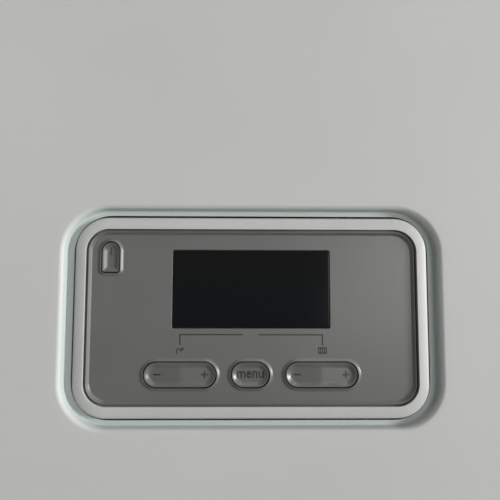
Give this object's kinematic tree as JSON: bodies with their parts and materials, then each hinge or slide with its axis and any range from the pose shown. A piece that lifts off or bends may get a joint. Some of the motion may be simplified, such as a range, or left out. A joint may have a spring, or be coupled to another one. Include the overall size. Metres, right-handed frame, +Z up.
{
  "type": "electric boiler",
  "caption": "Wall-hung electric heating boiler: sheet-steel casing with a recessed control panel, pull-off front cover, and exchanger, pump, expansion vessel and electrics inside.",
  "frame": {"origin": "centre of the casing's rear mounting face, which lies against the wall", "axes": "+Z up, +Y into the wall, the control panel faces -Y, +X to the right as seen from the front"},
  "size_m": [0.41, 0.31, 0.8],
  "materials": {
    "casing_paint": "pale grey-white baked paint on sheet steel, satin",
    "zinc_steel": "zinc-coated sheet steel",
    "bezel_plastic": "pale moulded plastic, semi-gloss",
    "face_plastic": "grey moulded plastic, semi-gloss",
    "key_plastic": "grey moulded plastic, semi-gloss, dished",
    "display_lens": "dark clear display window, polished",
    "black_plastic": "black moulded plastic",
    "circuit_board": "green circuit board",
    "tank_enamel": "red stove enamel on steel",
    "rubber": "black rubber",
    "brass_fitting": "machined brass",
    "stainless_steel": "rolled stainless steel",
    "jacket_foam": "dark insulating foam",
    "light_plastic": "off-white moulded plastic",
    "copper_pipe": "drawn copper tube",
    "pump_iron": "cast iron, painted dark",
    "red_plastic": "red moulded plastic"
  },
  "bodies": {
    "chassis": {"side_panel_left": "casing_paint", "side_panel_right": "casing_paint", "top_plate": "casing_paint", "bottom_plate": "casing_paint", "back_plate": "zinc_steel", "wall_bracket": "zinc_steel", "panel_bracket": "zinc_steel", "electrical_plate": "zinc_steel", "exchanger_bracket_lower": "zinc_steel", "exchanger_bracket_upper": "zinc_steel", "panel_bezel": "bezel_plastic", "panel_face": "face_plastic", "display_lens": "display_lens", "display_module": "black_plastic", "panel_board": "circuit_board", "power_board": "circuit_board", "panel_housing": "black_plastic", "expansion_vessel": "tank_enamel", "expansion_diaphragm": "rubber", "gas_valve": "brass_fitting", "exchanger_vessel": "stainless_steel", "insulating_jacket": "jacket_foam", "heater_flange": "stainless_steel", "heating_element_1": "stainless_steel", "heating_element_2": "stainless_steel", "heating_element_3": "stainless_steel", "element_cover": "light_plastic", "flow_temperature_sensor": "brass_fitting", "safety_thermostat": "black_plastic", "air_vent": "brass_fitting", "flow_connection": "brass_fitting", "return_connection": "brass_fitting", "return_manifold": "brass_fitting", "flow_pipe": "copper_pipe", "pump_outlet_pipe": "copper_pipe", "expansion_pipe": "copper_pipe", "pump_body": "pump_iron", "pump_motor": "black_plastic", "safety_valve": "brass_fitting", "filling_cock": "brass_fitting", "pressure_sensor": "stainless_steel", "contactor_1": "light_plastic", "contactor_2": "light_plastic", "contactor_3": "light_plastic", "terminal_block": "light_plastic", "cable_gland": "light_plastic", "heater_harness": "rubber", "panel_cable": "rubber"},
    "cover": {"front_cover": "casing_paint", "cover_screw_left": "zinc_steel", "cover_screw_right": "zinc_steel"},
    "hot_water_rocker": {"hot_water_rocker": "key_plastic"},
    "heating_rocker": {"heating_rocker": "key_plastic"},
    "menu_key": {"menu_key": "key_plastic"},
    "power_key": {"power_key": "key_plastic"},
    "pump_rotor": {"pump_rotor": "stainless_steel"},
    "valve_knob": {"safety_valve_knob": "red_plastic"},
    "cock_lever": {"filling_cock_lever": "red_plastic"},
    "vent_cap": {"air_vent_cap": "black_plastic"}
  },
  "joints": [
    {"name": "cover_pull", "type": "slide", "parent": "chassis", "child": "cover", "axis": [0, -1, 0], "range_m": [0, 0.36]},
    {"name": "hot_water_tilt", "type": "hinge", "parent": "chassis", "child": "hot_water_rocker", "pos_m": [-0.0347, -0.301, -0.1829], "axis": [0, 0, 1], "range_deg": [-3, 3], "stiffness_Nm_per_rad": 0.35},
    {"name": "heating_tilt", "type": "hinge", "parent": "chassis", "child": "heating_rocker", "pos_m": [0.034, -0.301, -0.1829], "axis": [0, 0, 1], "range_deg": [-3, 3], "stiffness_Nm_per_rad": 0.35},
    {"name": "menu_press", "type": "slide", "parent": "chassis", "child": "menu_key", "axis": [0, 1, 0], "range_m": [0, 0.0008], "stiffness_N_per_m": 1500},
    {"name": "power_press", "type": "slide", "parent": "chassis", "child": "power_key", "axis": [0, 1, 0], "range_m": [0, 0.0008], "stiffness_N_per_m": 1500},
    {"name": "rotor_spin", "type": "hinge", "parent": "chassis", "child": "pump_rotor", "pos_m": [0.14, -0.1638, -0.225], "axis": [0, 1, 0], "continuous": true},
    {"name": "knob_turn", "type": "hinge", "parent": "chassis", "child": "valve_knob", "pos_m": [0.07, -0.1638, -0.3007], "axis": [0, 0, 1], "range_deg": [0, 90]},
    {"name": "lever_turn", "type": "hinge", "parent": "chassis", "child": "cock_lever", "pos_m": [-0.125, -0.1781, -0.392], "axis": [0, 1, 0], "range_deg": [0, 90]},
    {"name": "vent_cap_turn", "type": "hinge", "parent": "chassis", "child": "vent_cap", "pos_m": [-0.1233, -0.1638, 0.2969], "axis": [0, 0, 1], "range_deg": [0, 180]}
  ]
}
